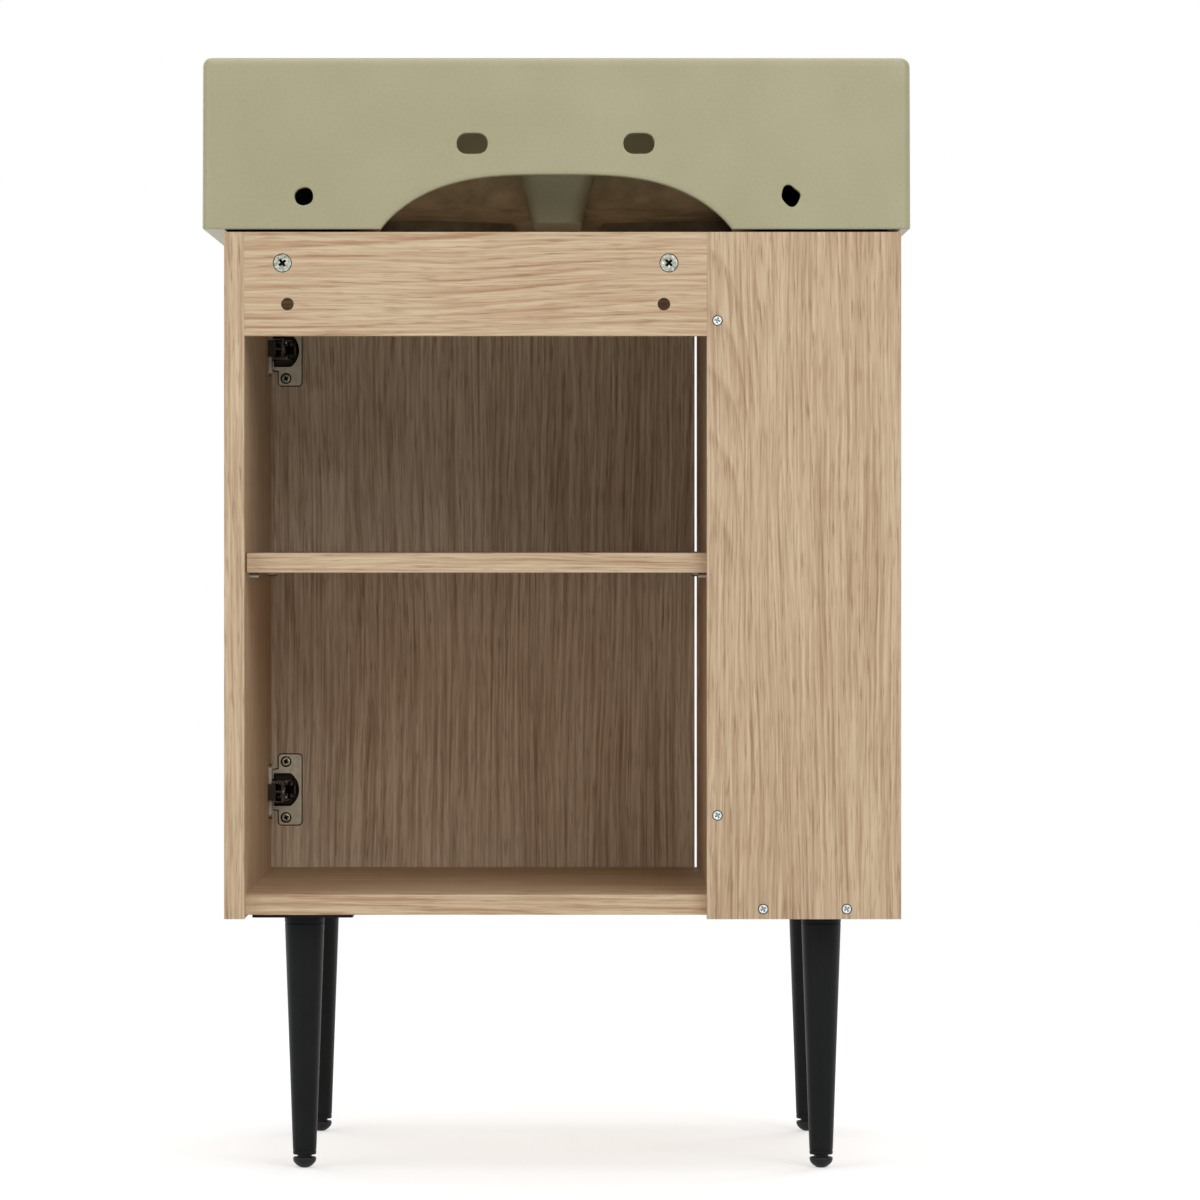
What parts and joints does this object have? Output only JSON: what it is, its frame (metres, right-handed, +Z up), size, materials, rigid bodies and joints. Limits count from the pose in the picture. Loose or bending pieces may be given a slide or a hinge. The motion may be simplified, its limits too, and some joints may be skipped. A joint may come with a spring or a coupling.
{
  "type": "vanity unit",
  "caption": "Free-standing bathroom vanity: ceramic basin on an oak-board cabinet with a hinged door, an open shelf column and tapered black legs.",
  "frame": {"origin": "on the floor, under the middle of the bounding box of the unit with its door closed", "axes": "+X to the left as one faces the front, where the door hinges are; +Y to the wall behind the unit; +Z up. The front faces -Y"},
  "size_m": [0.56, 0.467, 0.883],
  "materials": {
    "sage_ceramic": "satin sage-green glaze",
    "oak_board": "matt light-oak laminate",
    "zinc_fittings": "bright zinc plate",
    "hinge_nickel": "satin nickel plate",
    "beech_dowel": "raw beech",
    "clear_bumper": "clear soft plastic",
    "black_metal": "matt black powder coat",
    "black_foot": "black moulded plastic"
  },
  "bodies": {
    "cabinet": {"basin": "sage_ceramic", "side_panel": "oak_board", "divider_panel": "oak_board", "bottom_panel": "oak_board", "back_panel": "oak_board", "front_panel": "oak_board", "rear_rail": "oak_board", "front_rail": "oak_board", "column_top_board": "oak_board", "inner_shelf": "oak_board", "column_shelf_upper": "oak_board", "column_shelf_lower": "oak_board", "shelf_pins": "zinc_fittings", "cam_locks": "zinc_fittings", "cam_bolts": "zinc_fittings", "dowels": "beech_dowel", "back_panel_screws": "zinc_fittings", "upper_hinge_plate": "hinge_nickel", "upper_hinge_arm": "hinge_nickel", "upper_arm_pins": "zinc_fittings", "upper_link_springs": "zinc_fittings", "lower_hinge_plate": "hinge_nickel", "lower_hinge_arm": "hinge_nickel", "lower_arm_pins": "zinc_fittings", "lower_link_springs": "zinc_fittings", "hinge_plate_screws": "hinge_nickel", "hinge_arm_screws": "zinc_fittings", "leg_plate_rear_right": "black_metal", "leg_plate_rear_left": "black_metal", "leg_plate_front_right": "black_metal", "leg_plate_front_left": "black_metal", "leg_plate_screws": "black_metal", "leg_rear_right": "black_metal", "leg_rear_left": "black_metal", "leg_front_right": "black_metal", "leg_front_left": "black_metal"},
    "hinge_outer_links": {"upper_outer_link": "hinge_nickel", "lower_outer_link": "hinge_nickel"},
    "door": {"door": "oak_board", "door_knob": "black_metal", "knob_screw": "zinc_fittings", "door_bumpers": "clear_bumper", "upper_hinge_cup": "hinge_nickel", "upper_cup_pins": "zinc_fittings", "lower_hinge_cup": "hinge_nickel", "lower_cup_pins": "zinc_fittings", "hinge_cup_screws": "hinge_nickel"},
    "hinge_inner_links": {"upper_inner_link": "hinge_nickel", "lower_inner_link": "hinge_nickel"},
    "levelling_foot_rear_right": {"foot_rear_right": "black_foot"},
    "levelling_foot_rear_left": {"foot_rear_left": "black_foot"},
    "levelling_foot_front_right": {"foot_front_right": "black_foot"},
    "levelling_foot_front_left": {"foot_front_left": "black_foot"}
  },
  "joints": [
    {"name": "outer_link_swing", "type": "hinge", "parent": "cabinet", "child": "hinge_outer_links", "pos_m": [0.2344, -0.1985, 0.287], "axis": [0, 0, 1], "range_deg": [-43.8, 0]},
    {"name": "door_swing", "type": "hinge", "parent": "hinge_outer_links", "child": "door", "pos_m": [0.2507, -0.1973, 0.287], "axis": [0, 0, 1], "range_deg": [0, 138.7]},
    {"name": "inner_link_swing", "type": "hinge", "parent": "door", "child": "hinge_inner_links", "pos_m": [0.2531, -0.20225, 0.287], "axis": [0, 0, 1], "range_deg": [-104.2, 0]},
    {"name": "foot_screw_rear_right", "type": "slide", "parent": "cabinet", "child": "levelling_foot_rear_right", "axis": [0, 0, -1], "range_m": [-0.0015, 0.01]},
    {"name": "foot_screw_rear_left", "type": "slide", "parent": "cabinet", "child": "levelling_foot_rear_left", "axis": [0, 0, -1], "range_m": [-0.0015, 0.01]},
    {"name": "foot_screw_front_right", "type": "slide", "parent": "cabinet", "child": "levelling_foot_front_right", "axis": [0, 0, -1], "range_m": [-0.0015, 0.01]},
    {"name": "foot_screw_front_left", "type": "slide", "parent": "cabinet", "child": "levelling_foot_front_left", "axis": [0, 0, -1], "range_m": [-0.0015, 0.01]}
  ],
  "couplings": [
    {"joint": "outer_link_swing", "follows": "door_swing", "ratio": -0.31507},
    {"joint": "inner_link_swing", "follows": "door_swing", "ratio": -0.75069}
  ]
}
